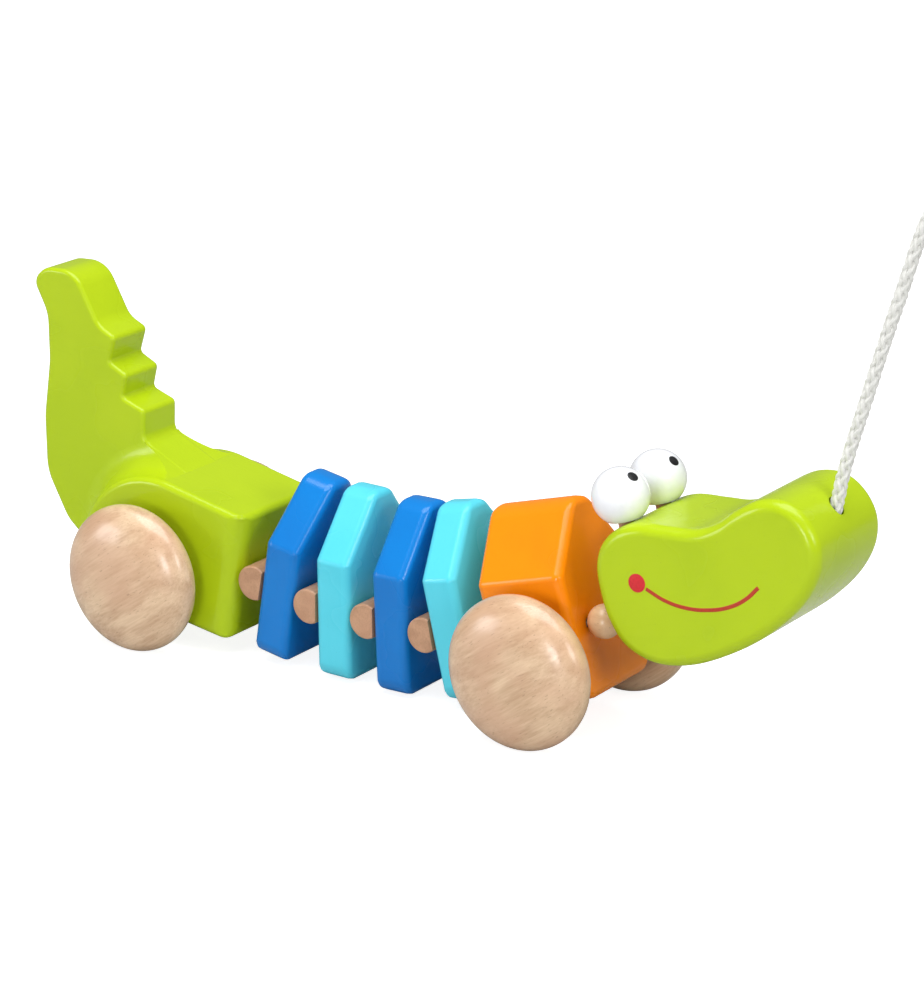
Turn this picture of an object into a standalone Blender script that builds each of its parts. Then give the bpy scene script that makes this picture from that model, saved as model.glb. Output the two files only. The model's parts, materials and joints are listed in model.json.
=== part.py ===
"""Pull-along wooden crocodile: a tail block, four rocking plates, a front block and a head in one chain.

Two elastic cords run through the whole chain. Behind each plate and behind the front block sits a dowel
with one flat side glued to it, and its round side rocks on the block behind. The chain stands on four
wheels and sags a little between its two axles. X runs forwards to the nose, Y to the toy's left and Z up.
The origin is on the ground, under the middle of the toy.

A body's own frame has x forwards along the cords, y to the left and z square to the cords.
"""

import math

import bmesh
import bpy
from mathutils import Matrix

MM = 0.001
GAP = 0.3 * MM  # clearance left where two pieces touch

# Chain: pieces strung along the cords
REAR_AXLE_X = -96.7 * MM
WHEEL_RADIUS = 25 * MM
DOWEL_DIAMETER = 11.8 * MM
DOWEL_LENGTH = 39 * MM
DOWEL_FLAT = 3.1 * MM  # from the dowel's axis forwards to its flat side
PLATE_THICKNESS = 12.9 * MM
PLATE_REAR = DOWEL_FLAT + GAP  # from the dowel's axis forwards to the plate
LINK_PITCH = PLATE_REAR + PLATE_THICKNESS + GAP + DOWEL_DIAMETER / 2  # from one dowel's axis to the next
TAIL_BLOCK_TILT = 9.0  # degrees, nose down
PLATE_TILTS = (8.8, 1.1, -0.2, -9.4)  # of the cords in each plate
PLATE_LEANS = (1.2, -0.5, -0.9, -2.9)  # how far each plate leans from square to its cords, nose down
PLATE_LIFTS = (-0.8 * MM, -0.1 * MM, -0.1 * MM, 1.3 * MM)  # how far each plate sits above the section's place
CORD_OFFSET = 10 * MM  # each cord's distance from the middle plane
CORD_DIAMETER = 3 * MM
CORD_BORE = 4 * MM
DOWEL_BORE = 6.8 * MM  # wider, so that the cord can bend inside the dowel
CORD_END_GAP = 0.35 * MM  # from the end of a stretch to the pivot that it stops at

# Plates and front block: one six-sided section, measured from the cord line
SECTION_TOP = 38.3 * MM
SECTION_SHOULDER = 17.5 * MM
SECTION_BOTTOM = -23.3 * MM
TOP_HALF_WIDTH = 4.8 * MM
SHOULDER_HALF_WIDTH = 20.7 * MM
BOTTOM_HALF_WIDTH = 19 * MM
TOP_ROUNDING = 5.8 * MM
SHOULDER_ROUNDING = 3 * MM
BOTTOM_ROUNDING = 6.2 * MM
PLATE_EDGE_RADIUS = 2.7 * MM
FRONT_BLOCK_EDGE_RADIUS = 2.9 * MM
FRONT_BLOCK_LENGTH = 32 * MM

# Tail block, measured from its axle
HALF_WIDTH = 21 * MM
BLOCK_FRONT = 33.7 * MM
BLOCK_TOP = 30.6 * MM
BLOCK_BOTTOM = -14 * MM
TAIL_HALF_WIDTH = 9 * MM
FENDER_RADIUS = 30 * MM
COVE_RADIUS = HALF_WIDTH - TAIL_HALF_WIDTH
REAR_CORD_HEIGHT = 9.3 * MM  # cord line above the rear axle
REAR_CORD_DEPTH = 20 * MM  # how deep the cord is glued into the tail block
TAIL_EDGE_RADIUS = 1.2 * MM
TAIL_OUTLINE = (  # x, z and corner radius, in mm, from the back of the underside over the tail
    (-18, -14, 4), (-30, -9.5, 12), (-44, -0.5, 14), (-55, 13, 16), (-59.5, 32, 30), (-60.3, 52, 30),
    (-63.5, 69, 20), (-68.6, 82.5, 3), (-64, 86, 3), (-54.5, 84.6, 3), (-42.5, 70.6, 3),
    (-34.6, 68.8, 2), (-35.9, 59.6, 1.5), (-28.2, 57.4, 2), (-28.8, 49.2, 1.5),
    (-19.4, 47.6, 2), (-18, 36.2, 2.5), (6, 30.6, 6), (20, 30.6, 4), (20, -14, 4),
)

# Axles and wheels
AXLE_DIAMETER = 8 * MM
AXLE_HALF_LENGTH = 36 * MM
WHEEL_INNER = 26 * MM  # inner face of the rim, from the middle plane
WHEEL_OUTER = 39.4 * MM  # where the outer face starts to round over
WHEEL_CROWN = 41 * MM  # middle of the domed outer face
HUB_RADIUS = 8 * MM
HUB_INNER = HALF_WIDTH + 0.6 * MM
FRONT_AXLE_AHEAD = 20.3 * MM  # from the last dowel's axis, along the cords
FRONT_AXLE_BELOW = 8.8 * MM  # below the cord line

# Neck, head and eyes
BEAD_DIAMETER = 11 * MM
BEAD_BORE = 5.2 * MM
HEAD_HALF_WIDTH = 20.5 * MM
HEAD_TILT = -15.0
HEAD_EDGE_RADIUS = 3.5 * MM
HEAD_CORD_DEPTH = 12 * MM
HEAD_OUTLINE = (  # x and z, in mm, from the neck pivot, clockwise from the back of the head
    (6.3, 12), (7, 20.2), (10.4, 26.4), (16.6, 30.5), (25, 31.8), (35, 30), (44, 28.5), (52, 29.8),
    (60, 33.4), (69, 35.8), (77.5, 34.2), (83.3, 28.2), (85.6, 19.7), (82.8, 10.7), (75, 2.2), (63, -5.1),
    (49, -10.4), (34, -13.4), (21, -12.2), (11.5, -6), (7.4, 2.7),
)
EYE_RADIUS = 9.1 * MM
EYE_PLACE = (15.9 * MM, 11 * MM, 39.2 * MM)
EYE_FLAT = 7.6 * MM  # from the eye's middle to the flat that it stands on
EYE_PEG_DIAMETER = 5 * MM
EYE_PEG_LENGTH = 16 * MM

# Pull cord: route in world metres, in the middle plane, from inside the nose to its ball
PULL_CORD_DIAMETER = 4.2 * MM
PULL_CORD_ROUTE = (
    (0.1445, 0.0794), (0.1455, 0.0848), (0.1465, 0.0900), (0.1476, 0.0965), (0.1492, 0.1035),
    (0.1512, 0.1110), (0.1536, 0.1195), (0.1561, 0.1285), (0.1586, 0.1375), (0.1612, 0.1465),
    (0.1638, 0.1550), (0.1662, 0.1635), (0.1687, 0.1720), (0.1722, 0.1810), (0.1768, 0.1893),
    (0.1825, 0.1966), (0.1891, 0.2027), (0.1958, 0.2088), (0.1987, 0.2115),
)
PULL_HOLE_DIAMETER = 5.6 * MM
KNOT_RADIUS = 4.6 * MM
PULL_BALL_RADIUS = 11 * MM
PULL_BALL_BORE = 5.6 * MM
PULL_BALL_PLACE = 12 * MM  # back from the cord's end, where the knot keeps it

LIME = (0.42, 0.60, 0.03)
DARK_BLUE = (0.014, 0.20, 0.61)
LIGHT_BLUE = (0.12, 0.68, 0.80)
ORANGE = (1.0, 0.32, 0.01)
BARE_WOOD = (0.62, 0.40, 0.22)
DOWEL_WOOD = (0.58, 0.33, 0.19)
EYE_WHITE = (0.86, 0.87, 0.92)
ELASTIC = (0.45, 0.43, 0.41)
ROPE_WHITE = (0.80, 0.80, 0.77)


# ---------------------------------------------------------------- materials and object helpers


def material(name, color, roughness):
    made = bpy.data.materials.new(name)
    made.use_nodes = True
    shader = made.node_tree.nodes["Principled BSDF"]
    shader.inputs["Base Color"].default_value = (*color, 1)
    shader.inputs["Roughness"].default_value = roughness
    shader.inputs["Metallic"].default_value = 0
    return made


def link(name, mesh, finish, parent):
    obj = bpy.data.objects.new(name, mesh)
    bpy.context.scene.collection.objects.link(obj)
    obj.parent = parent
    if finish:
        mesh.materials.append(finish)
    return obj


def mesh_from(bm, name):
    bmesh.ops.remove_doubles(bm, verts=bm.verts, dist=1e-6)
    bmesh.ops.recalc_face_normals(bm, faces=bm.faces)
    mesh = bpy.data.meshes.new(name)
    bm.to_mesh(mesh)
    bm.free()
    mesh.shade_smooth()
    mesh.set_sharp_from_angle(angle=math.radians(40))
    return mesh


def body_frame(name, x, z, tilt):
    """An empty on the body's joint axis, turned nose down by tilt degrees."""
    empty = bpy.data.objects.new(name + "_frame", None)
    bpy.context.scene.collection.objects.link(empty)
    empty.location = (x, 0, z)
    empty.rotation_euler = (0, math.radians(tilt), 0)
    return empty


def boolean(obj, other, operation="DIFFERENCE"):
    modifier = obj.modifiers.new(operation.title() + "_" + other.name, "BOOLEAN")
    modifier.operation = operation
    modifier.object = other
    modifier.solver = "EXACT"
    other.hide_render = True
    other.display_type = "WIRE"


# ---------------------------------------------------------------- outlines


def rounded(corners, steps=2):
    """The closed outline through corners (x, z, radius), each turned into an arc of that radius."""
    points = []
    count = len(corners)
    for i, (x, z, radius) in enumerate(corners):
        to_last = (corners[i - 1][0] - x, corners[i - 1][1] - z)
        to_next = (corners[(i + 1) % count][0] - x, corners[(i + 1) % count][1] - z)
        last_length = math.hypot(*to_last)
        next_length = math.hypot(*to_next)
        a = (to_last[0] / last_length, to_last[1] / last_length)
        b = (to_next[0] / next_length, to_next[1] / next_length)
        half_angle = math.acos(max(-1, min(1, a[0] * b[0] + a[1] * b[1]))) / 2
        reach = min(radius / math.tan(half_angle), 0.48 * last_length, 0.48 * next_length)
        start = (x + a[0] * reach, z + a[1] * reach)
        end = (x + b[0] * reach, z + b[1] * reach)
        for k in range(steps + 1):
            t = k / steps
            corner_weight = 2 * t * (1 - t)
            points.append(
                (
                    (1 - t) ** 2 * start[0] + corner_weight * x + t**2 * end[0],
                    (1 - t) ** 2 * start[1] + corner_weight * z + t**2 * end[1],
                )
            )
    return points


def smooth(points, steps):
    """The closed Catmull-Rom curve through points, with so many steps from each to the next."""
    count = len(points)
    curve = []
    for i in range(count):
        before, start, end, after = (points[(i + k) % count] for k in (-1, 0, 1, 2))
        for step in range(steps):
            t = step / steps
            curve.append(
                tuple(
                    0.5
                    * (2 * b + (c - a) * t + (2 * a - 5 * b + 4 * c - d) * t**2 + (3 * b - a - 3 * c + d) * t**3)
                    for a, b, c, d in zip(before, start, end, after)
                )
            )
    return curve


def inset(outline, distance):
    """The outline moved inwards by distance, square to its sides."""
    area = sum(p[0] * q[1] - q[0] * p[1] for p, q in zip(outline, outline[1:] + outline[:1]))
    turn = 1 if area > 0 else -1
    count = len(outline)
    moved = []
    for i, (x, z) in enumerate(outline):
        before, after = outline[i - 1], outline[(i + 1) % count]
        normals = []
        for p, q in ((before, (x, z)), ((x, z), after)):
            length = math.hypot(q[0] - p[0], q[1] - p[1])
            normals.append((-turn * (q[1] - p[1]) / length, turn * (q[0] - p[0]) / length))
        across = (normals[0][0] + normals[1][0], normals[0][1] + normals[1][1])
        scale = distance * 2 / (across[0] ** 2 + across[1] ** 2)
        moved.append((x + across[0] * scale, z + across[1] * scale))
    return moved


def slab(outline, low, high, radius, along="y", steps=2):
    """A slab with the outline as its section, from low to high along y or x, and rounded edges."""
    rings = []
    for k in range(steps + 1):
        angle = math.pi / 2 * k / steps
        rings.append((low + radius * (1 - math.sin(angle)), radius * (1 - math.cos(angle))))
    rings.reverse()
    rings += [(low + high - depth, cut) for depth, cut in reversed(rings)]
    bm = bmesh.new()
    loops = []
    for depth, cut in rings:
        section = inset(outline, cut) if cut else outline
        if along == "y":
            loops.append([bm.verts.new((a, depth, b)) for a, b in section])
        else:
            loops.append([bm.verts.new((depth, a, b)) for a, b in section])
    for first, second in zip(loops, loops[1:]):
        for i in range(len(first)):
            bm.faces.new((first[i - 1], first[i], second[i], second[i - 1]))
    bm.faces.new(loops[0])
    bm.faces.new(loops[-1])
    return bm


def turned(profile, sides, phase=0.0):
    """A solid turned about the y axis from (radius, y) points; radius 0 makes a pole."""
    bm = bmesh.new()
    loops = []
    for radius, y in profile:
        if radius == 0:
            loops.append([bm.verts.new((0, y, 0))])
            continue
        ring = []
        for i in range(sides):
            angle = 2 * math.pi * i / sides + phase
            ring.append(bm.verts.new((radius * math.cos(angle), y, radius * math.sin(angle))))
        loops.append(ring)
    for first, second in zip(loops, loops[1:]):
        for i in range(sides):
            corners = [first[i - 1], first[i]] if len(first) > 1 else [first[0]]
            corners += [second[i], second[i - 1]] if len(second) > 1 else [second[0]]
            bm.faces.new(corners)
    for ring in (loops[0], loops[-1]):
        if len(ring) > 1:
            bm.faces.new(ring)
    return bm


def arc(radius, start, end, steps, center=(0, 0)):
    """Points on an arc, in (first, second) coordinates, from start to end degrees."""
    points = []
    for k in range(steps + 1):
        angle = math.radians(start + (end - start) * k / steps)
        points.append((center[0] + radius * math.cos(angle), center[1] + radius * math.sin(angle)))
    return points


def drill(obj, name, diameter, start, length, axis, parent, sides=14):
    """Cuts a round hole from start, along "x", "y" or "z" in the parent's frame."""
    bm = turned([(diameter / 2, 0), (diameter / 2, length)], sides)
    cutter = link(name + "_cutter", mesh_from(bm, name + "_cutter"), None, parent)
    cutter.location = start
    if axis == "x":
        cutter.rotation_euler = (0, 0, math.radians(-90))
    elif axis == "z":
        cutter.rotation_euler = (math.radians(90), 0, 0)
    boolean(obj, cutter)


def cord_stretch(name, parent, x_start, x_end, side, finish):
    """A straight stretch of one elastic cord, along x in the body's frame."""
    radius = CORD_DIAMETER / 2
    bm = turned([(radius, 0), (radius, x_end - x_start)], 8)
    obj = link(name, mesh_from(bm, name), finish, parent)
    obj.rotation_euler = (0, 0, math.radians(-90))
    return obj, (x_start, side * CORD_OFFSET, 0)


# ---------------------------------------------------------------- the pieces


def make_tail_block(frame, finish):
    outline = [(x * MM, z * MM) for x, z in rounded(TAIL_OUTLINE, 3)]
    bm = slab(outline, -TAIL_HALF_WIDTH, TAIL_HALF_WIDTH, TAIL_EDGE_RADIUS, steps=1)
    tail = link("tail_block", mesh_from(bm, "tail"), finish, frame)

    arc_end = 205
    body = arc(FENDER_RADIUS, 88, arc_end, 14)
    body += [(-18 * MM, BLOCK_BOTTOM), (BLOCK_FRONT, BLOCK_BOTTOM)]
    body += [(BLOCK_FRONT, BLOCK_TOP), (2 * MM, BLOCK_TOP)]
    wide = link("wide_body", mesh_from(slab(body, -HALF_WIDTH, HALF_WIDTH, 2.5 * MM), "wide_body"), None, frame)
    plan = [(-45, -21.5, 1), (BLOCK_FRONT / MM, -21, 7), (BLOCK_FRONT / MM, 21, 7), (-45, 21.5, 1)]
    plan = [(x * MM, y * MM) for x, y in rounded(plan, 4)]
    bm = upright(plan, -20 * MM, 40 * MM)
    rounding = link("front_rounding", mesh_from(bm, "front_rounding"), None, frame)
    boolean(wide, rounding, "INTERSECT")

    outer = FENDER_RADIUS + COVE_RADIUS
    cove = [(outer + c, HALF_WIDTH + d) for c, d in arc(COVE_RADIUS, 180, 270, 6)]
    cove = [(0, HALF_WIDTH)] + cove
    cove += [(radius, -y) for radius, y in reversed(cove)]
    flare = link("cove", mesh_from(turned(cove, 48), "cove"), None, frame)
    under = inset(outline, 0.4 * MM)
    bm = slab(under, -22 * MM, 22 * MM, 0.1 * MM, steps=1)
    limit = link("cove_limit", mesh_from(bm, "cove_limit"), None, frame)
    boolean(flare, limit, "INTERSECT")

    boolean(tail, wide, "UNION")
    boolean(tail, flare, "UNION")
    drill(tail, "rear_axle_bore", AXLE_DIAMETER + 2 * GAP, (0, -25 * MM, 0), 50 * MM, "y", frame, 20)
    for side in (-1, 1):
        start = (BLOCK_FRONT - REAR_CORD_DEPTH, side * CORD_OFFSET, REAR_CORD_HEIGHT)
        drill(tail, f"tail_cord_bore_{side}", CORD_BORE, start, REAR_CORD_DEPTH + 5 * MM, "x", frame, 12)


def upright(plan, low, high):
    """A prism with the plan as its section, from low to high along z."""
    bm = bmesh.new()
    bottom = [bm.verts.new((x, y, low)) for x, y in plan]
    top = [bm.verts.new((x, y, high)) for x, y in plan]
    for i in range(len(plan)):
        bm.faces.new((bottom[i - 1], bottom[i], top[i], top[i - 1]))
    bm.faces.new(bottom)
    bm.faces.new(top)
    return bm


def six_sided():
    """The section of the plates and the front block, as (y, z) points with rounded corners."""
    corners = (
        (TOP_HALF_WIDTH, SECTION_TOP, TOP_ROUNDING),
        (SHOULDER_HALF_WIDTH, SECTION_SHOULDER, SHOULDER_ROUNDING),
        (BOTTOM_HALF_WIDTH, SECTION_BOTTOM, BOTTOM_ROUNDING),
    )
    right = [(-y, z, radius) for y, z, radius in reversed(corners)]
    return rounded(list(corners) + right)


def strung_block(name, frame, finish, length, edge_radius, lean=0.0, lift=0.0):
    """A six-sided block ahead of a dowel, with a bore for each cord and its frame on the dowel's axis."""
    bm = slab(six_sided(), PLATE_REAR, PLATE_REAR + length, edge_radius, along="x")
    middle = (PLATE_REAR + length / 2, 0, 0)
    turn = Matrix.Rotation(math.radians(lean), 3, "Y")
    bmesh.ops.rotate(bm, cent=middle, matrix=turn, verts=bm.verts)
    bmesh.ops.translate(bm, vec=(0, 0, lift), verts=bm.verts)
    block = link(name, mesh_from(bm, name), finish, frame)
    for side in (-1, 1):
        start = (PLATE_REAR - 2 * MM, side * CORD_OFFSET, 0)
        drill(block, f"{name}_bore_{side}", CORD_BORE, start, length + 4 * MM, "x", frame, 12)
    return block


def make_front_block(frame, finish):
    block = strung_block("front_block", frame, finish, FRONT_BLOCK_LENGTH, FRONT_BLOCK_EDGE_RADIUS)
    start = (FRONT_AXLE_AHEAD, -25 * MM, -FRONT_AXLE_BELOW)
    drill(block, "front_axle_bore", AXLE_DIAMETER + 2 * GAP, start, 50 * MM, "y", frame, 20)


def make_dowel(name, frame, finish):
    """A dowel across the toy with its front side planed flat, and a wide cross bore for each cord."""
    radius, half = DOWEL_DIAMETER / 2, DOWEL_LENGTH / 2
    corner = math.degrees(math.acos(DOWEL_FLAT / radius))
    outline = arc(radius, corner, 360 - corner, 14)
    bm = slab(outline, -half, half, 0.6 * MM, steps=1)
    dowel = link(name, mesh_from(bm, name), finish, frame)
    for side in (-1, 1):
        start = (-radius - 1 * MM, side * CORD_OFFSET, 0)
        drill(dowel, f"{name}_bore_{side}", DOWEL_BORE, start, DOWEL_DIAMETER + 2 * MM, "x", frame, 12)


def make_wheelset(name, x, finish, axle_finish):
    """An axle glued into two wheels, with blind bores so that no hub shows outside."""
    frame = body_frame(name, x, WHEEL_RADIUS, 0)
    edge_depth = WHEEL_OUTER - 31 * MM
    angles = (0, 0.4, 0.8, 1.2)
    edge = [(18.5 * MM + 6.5 * MM * math.cos(a), 31 * MM + edge_depth * math.sin(a)) for a in angles]
    bore = AXLE_DIAMETER / 2 + GAP
    bore_end = AXLE_HALF_LENGTH + GAP
    profile = [(0, bore_end), (bore, bore_end), (bore, HUB_INNER), (HUB_RADIUS, HUB_INNER)]
    profile += [(HUB_RADIUS, WHEEL_INNER), (23.5 * MM, WHEEL_INNER), (25 * MM, 27.5 * MM)]
    profile += edge + [(15 * MM, 40 * MM), (8 * MM, 40.7 * MM), (0, WHEEL_CROWN)]
    for word, side in (("left", 1), ("right", -1)):
        bm = turned([(radius, side * y) for radius, y in profile], 24, -math.pi / 2)
        wheel = f"{name}_wheel_{word}"
        link(wheel, mesh_from(bm, wheel), finish, frame)
    rod = AXLE_DIAMETER / 2
    bm = turned([(rod, -AXLE_HALF_LENGTH), (rod, AXLE_HALF_LENGTH)], 20)
    link(name + "_axle", mesh_from(bm, name + "_axle"), axle_finish, frame)


def make_head(frame, finish):
    outline = [(x * MM, z * MM) for x, z in smooth(HEAD_OUTLINE, 2)]
    bm = slab(outline, -HEAD_HALF_WIDTH, HEAD_HALF_WIDTH, HEAD_EDGE_RADIUS)
    head = link("head", mesh_from(bm, "head"), finish, frame)
    for side in (-1, 1):
        start = (0, side * CORD_OFFSET, 0)
        drill(head, f"head_cord_bore_{side}", CORD_BORE, start, 9 * MM + HEAD_CORD_DEPTH, "x", frame, 12)
        start = (EYE_PLACE[0], side * EYE_PLACE[1], EYE_PLACE[2] - EYE_FLAT - 9 * MM)
        drill(head, f"eye_socket_{side}", EYE_PEG_DIAMETER + 2 * GAP, start, 12 * MM, "z", frame, 12)
    return head


def make_eye(word, side, frame, white, wood):
    """A wooden ball with a flat to stand on and a blind bore, and the peg that holds it."""
    x, y, z = EYE_PLACE
    bore = EYE_PEG_DIAMETER / 2 + GAP
    flat = math.degrees(math.acos(EYE_FLAT / EYE_RADIUS))
    ball = [(r, h) for h, r in arc(EYE_RADIUS, 0, 180 - flat, 7)]
    peg_top = EYE_PEG_LENGTH / 2 - 1 * MM
    bore_top = peg_top + GAP - EYE_FLAT
    profile = ball + [(bore, -EYE_FLAT), (bore, bore_top), (0, bore_top)]
    profile[0] = (0, EYE_RADIUS)
    eye = link(f"eye_{word}", mesh_from(turned(profile, 16), f"eye_{word}"), white, frame)
    eye.location = (x, side * y, z)
    eye.rotation_euler = (math.radians(90), 0, 0)
    radius = EYE_PEG_DIAMETER / 2
    bm = turned([(radius, peg_top - EYE_PEG_LENGTH), (radius, peg_top)], 12)
    peg = link(f"eye_peg_{word}", mesh_from(bm, f"eye_peg_{word}"), wood, frame)
    peg.location = (x, side * y, z - EYE_FLAT)
    peg.rotation_euler = (math.radians(90), 0, 0)


def make_bead(name, frame, side, finish):
    """A drilled ball between the front block and the head."""
    radius = BEAD_DIAMETER / 2
    tip = math.degrees(math.asin(BEAD_BORE / 2 / radius))
    profile = [(r, -h) for h, r in arc(radius, tip, 180 - tip, 6)]
    bm = turned(profile, 14)
    bead = link(name, mesh_from(bm, name), finish, frame)
    bead.location = (0, side * CORD_OFFSET, 0)
    bead.rotation_euler = (0, 0, math.radians(-90))
    drill(bead, name + "_bore", BEAD_BORE, (-8 * MM, side * CORD_OFFSET, 0), 16 * MM, "x", frame, 12)


def make_pull_cord(head, rope, wood):
    """The rope out of the nose, up to its knot and wooden ball; its points are world metres."""
    curve = bpy.data.curves.new("pull_cord", "CURVE")
    curve.dimensions = "3D"
    curve.bevel_depth = PULL_CORD_DIAMETER / 2
    curve.bevel_resolution = 2
    curve.use_fill_caps = True
    spline = curve.splines.new("POLY")
    spline.points.add(len(PULL_CORD_ROUTE) - 1)
    for point, (x, z) in zip(spline.points, PULL_CORD_ROUTE):
        point.co = (x, 0, z, 1)
    curve.materials.append(rope)
    cord = bpy.data.objects.new("pull_cord", curve)
    bpy.context.scene.collection.objects.link(cord)

    (x0, z0), (x1, z1) = PULL_CORD_ROUTE[0], PULL_CORD_ROUTE[3]
    lean = math.atan2(x1 - x0, z1 - z0)
    bm = turned([(PULL_HOLE_DIAMETER / 2, -0.5 * MM), (PULL_HOLE_DIAMETER / 2, 25 * MM)], 14)
    cutter = link("pull_cord_hole", mesh_from(bm, "pull_cord_hole"), None, None)
    cutter.location = (x0, 0, z0)
    cutter.rotation_euler = (math.radians(90), lean, 0)
    boolean(head, cutter)

    (x2, z2), (x3, z3) = PULL_CORD_ROUTE[-4], PULL_CORD_ROUTE[-1]
    length = math.hypot(x3 - x2, z3 - z2)
    ahead = ((x3 - x2) / length, (z3 - z2) / length)
    lean = math.atan2(ahead[0], ahead[1])

    def on_cord(name, bm, finish, distance):
        obj = link(name, mesh_from(bm, name), finish, None)
        obj.location = (x3 + ahead[0] * distance, 0, z3 + ahead[1] * distance)
        obj.rotation_euler = (math.radians(90), lean, 0)
        return obj

    on_cord("pull_cord_knot", turned(as_ball(KNOT_RADIUS, 0.8), 10), rope, KNOT_RADIUS * 0.8 + GAP)
    ball = on_cord("pull_ball", turned(as_ball(PULL_BALL_RADIUS, 1.0), 14), wood, -PULL_BALL_PLACE)
    reach = PULL_BALL_RADIUS + 1 * MM
    bore = turned([(PULL_BALL_BORE / 2, -reach), (PULL_BALL_BORE / 2, reach)], 12)
    boolean(ball, on_cord("pull_ball_bore", bore, None, -PULL_BALL_PLACE))


def as_ball(radius, squash):
    """The (radius, y) profile of a ball flattened by squash along y."""
    points = [(r, h * squash) for h, r in arc(radius, 0, 180, 6)]
    points[0] = (0, radius * squash)
    points[-1] = (0, -radius * squash)
    return points


def along(point, tilt, ahead, up=0.0):
    """The (x, z) point moved ahead and up in a frame turned nose down by tilt degrees."""
    turn = math.radians(tilt)
    x = point[0] + ahead * math.cos(turn) + up * math.sin(turn)
    z = point[1] - ahead * math.sin(turn) + up * math.cos(turn)
    return (x, z)


def main():
    for obj in list(bpy.data.objects):
        bpy.data.objects.remove(obj)
    lime = material("lime_paint", LIME, 0.3)
    blues = (material("dark_blue_paint", DARK_BLUE, 0.3), material("light_blue_paint", LIGHT_BLUE, 0.3))
    orange = material("orange_paint", ORANGE, 0.3)
    wheel_wood = material("varnished_wood", BARE_WOOD, 0.35)
    dowel_wood = material("dowel_wood", DOWEL_WOOD, 0.6)
    white = material("eye_white", EYE_WHITE, 0.15)
    elastic = material("elastic_cord", ELASTIC, 0.8)
    rope = material("pull_rope", ROPE_WHITE, 0.8)

    rear_axle = (REAR_AXLE_X, WHEEL_RADIUS)
    tail_frame = body_frame("tail_block", *rear_axle, TAIL_BLOCK_TILT)
    make_tail_block(tail_frame, lime)
    make_wheelset("rear", REAR_AXLE_X, wheel_wood, dowel_wood)

    # Down the chain: each dowel's axis, and the plate that hangs between it and the next
    ahead_of_axle = BLOCK_FRONT + GAP + DOWEL_DIAMETER / 2
    pivot = along(rear_axle, TAIL_BLOCK_TILT, ahead_of_axle, REAR_CORD_HEIGHT)
    tilts = (TAIL_BLOCK_TILT, *PLATE_TILTS)
    pivots = [pivot]
    for tilt in PLATE_TILTS:
        pivots.append(along(pivots[-1], tilt, LINK_PITCH))

    # The front block tips until its wheels stand on the ground
    arm = math.hypot(FRONT_AXLE_AHEAD, FRONT_AXLE_BELOW)
    rise = math.asin((WHEEL_RADIUS - pivots[-1][1]) / arm)
    front_tilt = -math.degrees(rise + math.atan2(FRONT_AXLE_BELOW, FRONT_AXLE_AHEAD))
    tilts = (*tilts, front_tilt)

    for number, (point, lean) in enumerate(zip(pivots, (*PLATE_LEANS, 0)), 1):
        frame = body_frame(f"dowel_{number}", *point, tilts[number] + lean)
        make_dowel(f"dowel_{number}", frame, dowel_wood)

    first_start = BLOCK_FRONT - REAR_CORD_DEPTH + GAP
    stretches = [("tail_block", tail_frame, first_start, ahead_of_axle - CORD_END_GAP)]
    for number, point in enumerate(pivots[:-1], 1):
        frame = body_frame(f"plate_{number}", *point, tilts[number])
        name, finish = f"plate_{number}", blues[(number + 1) % 2]
        lean, lift = PLATE_LEANS[number - 1], PLATE_LIFTS[number - 1]
        strung_block(name, frame, finish, PLATE_THICKNESS, PLATE_EDGE_RADIUS, lean, lift)
        stretches.append((f"plate_{number}", frame, CORD_END_GAP, LINK_PITCH - CORD_END_GAP))

    front_frame = body_frame("front_block", *pivots[-1], front_tilt)
    make_front_block(front_frame, orange)
    front_axle = along(pivots[-1], front_tilt, FRONT_AXLE_AHEAD, -FRONT_AXLE_BELOW)
    make_wheelset("front", front_axle[0], wheel_wood, dowel_wood)
    neck = PLATE_REAR + FRONT_BLOCK_LENGTH + GAP + BEAD_DIAMETER / 2
    stretches.append(("front_block", front_frame, CORD_END_GAP, neck - CORD_END_GAP))

    neck_pivot = along(pivots[-1], front_tilt, neck)
    bead_frame = body_frame("neck_beads", *neck_pivot, (front_tilt + HEAD_TILT) / 2)
    for word, side in (("left", 1), ("right", -1)):
        make_bead(f"neck_bead_{word}", bead_frame, side, wheel_wood)
    head_frame = body_frame("head", *neck_pivot, HEAD_TILT)
    head = make_head(head_frame, lime)
    stretches.append(("head", head_frame, CORD_END_GAP, 9 * MM + HEAD_CORD_DEPTH - GAP))
    for word, side in (("left", 1), ("right", -1)):
        make_eye(word, side, head_frame, white, dowel_wood)

    for place, frame, start, end in stretches:
        height = REAR_CORD_HEIGHT if place == "tail_block" else 0
        for word, side in (("left", 1), ("right", -1)):
            obj, spot = cord_stretch(f"cord_{word}_in_{place}", frame, start, end, side, elastic)
            obj.location = (spot[0], spot[1], height)

    make_pull_cord(head, rope, wheel_wood)


main()
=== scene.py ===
"""The wooden pull-along crocodile's looks: turned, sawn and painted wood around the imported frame."""

import json
import math

import bmesh
import bpy
from mathutils import Matrix, Vector


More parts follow.
